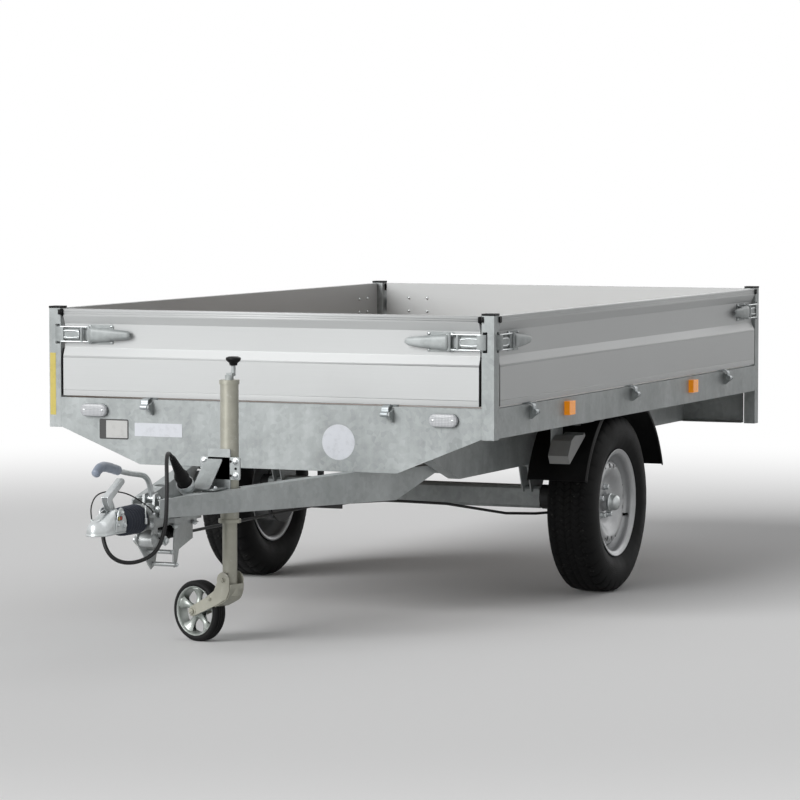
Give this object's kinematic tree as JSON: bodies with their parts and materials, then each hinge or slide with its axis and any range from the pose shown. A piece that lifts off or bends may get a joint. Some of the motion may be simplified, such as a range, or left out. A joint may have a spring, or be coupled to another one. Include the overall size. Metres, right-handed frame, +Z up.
{
  "type": "high-bed trailer",
  "caption": "Single-axle flatbed trailer with drop-down aluminium boards over its wheels, an overrun ball coupling and a swivelling jockey wheel.",
  "frame": {"origin": "centre of the trailer's footprint on the ground", "axes": "+X forward to the coupling, +Y to the trailer's left, +Z up"},
  "size_m": [4.122, 1.734, 1.067],
  "materials": {
    "galvanised_steel": "satin",
    "cast_steel": "satin",
    "zinc_plate": "bright",
    "tube_steel": "satin",
    "dark_steel": "satin",
    "aluminium": "satin",
    "wheel_silver": "satin",
    "tyre_rubber": "matte",
    "cable_rubber": "matte",
    "bellows_rubber": "satin",
    "black_plastic": "matte",
    "grey_plastic": "matte",
    "grip_plastic": "satin",
    "plywood": "satin",
    "clear_lens": "gloss",
    "amber_lens": "gloss",
    "red_lens": "gloss"
  },
  "bodies": {
    "chassis": {"frame_rails": "galvanised_steel", "cross_members": "galvanised_steel", "side_rails": "galvanised_steel", "front_plate": "galvanised_steel", "rear_plate": "galvanised_steel", "corner_posts": "galvanised_steel", "hinge_brackets": "galvanised_steel", "drawbar_beams": "galvanised_steel", "axle_beam": "galvanised_steel", "jockey_clamp": "galvanised_steel", "jockey_crank": "galvanised_steel", "plug_holder": "galvanised_steel", "chock_holder": "galvanised_steel", "overrun_housing": "cast_steel", "coupling_head": "zinc_plate", "coupling_handle": "zinc_plate", "handbrake_lever": "zinc_plate", "handbrake_grip": "grip_plastic", "brake_bracket": "cast_steel", "brake_rod": "dark_steel", "swing_arms": "dark_steel", "brake_plates": "dark_steel", "bellows": "bellows_rubber", "mudguards": "black_plastic", "mudguard_stays": "galvanised_steel", "post_caps": "black_plastic", "crank_knob": "black_plastic", "plug": "black_plastic", "electric_cable": "cable_rubber", "breakaway_cable": "cable_rubber", "wheel_chock": "grey_plastic", "bed_floor": "plywood", "front_lamps": "clear_lens", "side_markers": "amber_lens", "tail_lamps": "red_lens", "jockey_outer_tube": "tube_steel"},
    "front_board": {"front_board": "aluminium", "front_fittings": "galvanised_steel"},
    "tail_board": {"tail_board": "aluminium", "tail_fittings": "galvanised_steel"},
    "left_board": {"left_board": "aluminium", "left_fittings": "galvanised_steel"},
    "right_board": {"right_board": "aluminium", "right_fittings": "galvanised_steel"},
    "wheel_left": {"rim_left": "wheel_silver", "tyre_left": "tyre_rubber", "hub_left": "dark_steel"},
    "wheel_right": {"rim_right": "wheel_silver", "tyre_right": "tyre_rubber", "hub_right": "dark_steel"},
    "jockey_tube": {"jockey_inner_tube": "galvanised_steel"},
    "jockey_fork": {"jockey_fork": "galvanised_steel"},
    "jockey_wheel": {"jockey_rim": "galvanised_steel", "jockey_tyre": "tyre_rubber"}
  },
  "joints": [
    {"name": "wheel_left_spin", "type": "hinge", "parent": "chassis", "child": "wheel_left", "pos_m": [-0.559, 0.69, 0.325], "axis": [0, 1, 0], "continuous": true},
    {"name": "wheel_right_spin", "type": "hinge", "parent": "chassis", "child": "wheel_right", "pos_m": [-0.559, -0.69, 0.325], "axis": [0, 1, 0], "continuous": true},
    {"name": "jockey_lift", "type": "slide", "parent": "chassis", "child": "jockey_tube", "axis": [0, 0, 1], "range_m": [-0.08, 0.15]},
    {"name": "jockey_swivel", "type": "hinge", "parent": "jockey_tube", "child": "jockey_fork", "pos_m": [1.326, 0.11497, 0.18], "axis": [0, 0, 1], "continuous": true},
    {"name": "jockey_wheel_spin", "type": "hinge", "parent": "jockey_fork", "child": "jockey_wheel", "pos_m": [1.28336, -0.01628, 0.1], "axis": [0.9511, -0.309, 0], "continuous": true},
    {"name": "front_board_hinge", "type": "hinge", "parent": "chassis", "child": "front_board", "pos_m": [0.834, 0, 0.727], "axis": [0, 1, 0], "range_deg": [0, 125]},
    {"name": "tail_board_hinge", "type": "hinge", "parent": "chassis", "child": "tail_board", "pos_m": [-2.052, 0, 0.727], "axis": [0, -1, 0], "range_deg": [0, 180]},
    {"name": "left_board_hinge", "type": "hinge", "parent": "chassis", "child": "left_board", "pos_m": [-0.609, 0.858, 0.727], "axis": [-1, 0, 0], "range_deg": [0, 180]},
    {"name": "right_board_hinge", "type": "hinge", "parent": "chassis", "child": "right_board", "pos_m": [-0.609, -0.858, 0.727], "axis": [1, 0, 0], "range_deg": [0, 180]}
  ]
}
